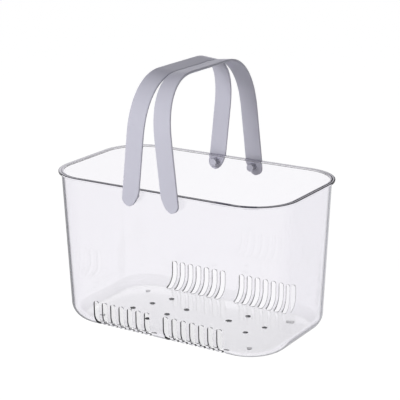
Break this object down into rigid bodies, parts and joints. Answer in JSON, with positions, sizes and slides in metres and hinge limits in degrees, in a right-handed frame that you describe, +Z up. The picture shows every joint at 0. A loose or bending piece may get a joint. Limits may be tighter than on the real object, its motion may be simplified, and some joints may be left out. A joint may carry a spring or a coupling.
{
  "type": "shower basket",
  "caption": "Clear slotted shower basket with drain holes and two grey strap handles that lean together over it and fold down outwards.",
  "frame": {"origin": "on the ground under the middle of the tub, midway between the handles", "axes": "+X along the tub's long side, +Y across it from front to back, +Z up"},
  "size_m": [0.27, 0.1632, 0.2701],
  "materials": {
    "clear_plastic": "clear, polished",
    "grey_plastic": "satin",
    "stud_plastic": "satin"
  },
  "bodies": {
    "tub": {"tub": "clear_plastic"},
    "handle_left": {"handle_left": "grey_plastic", "stud_left_front": "stud_plastic", "stud_left_back": "stud_plastic"},
    "handle_right": {"handle_right": "grey_plastic", "stud_right_front": "stud_plastic", "stud_right_back": "stud_plastic"}
  },
  "joints": [
    {"name": "handle_left_fold", "type": "hinge", "parent": "tub", "child": "handle_left", "pos_m": [-0.0227, 0, 0.1504], "axis": [0, -1, 0], "range_deg": [0, 115]},
    {"name": "handle_right_fold", "type": "hinge", "parent": "tub", "child": "handle_right", "pos_m": [0.0227, 0, 0.1504], "axis": [0, 1, 0], "range_deg": [0, 115]}
  ]
}
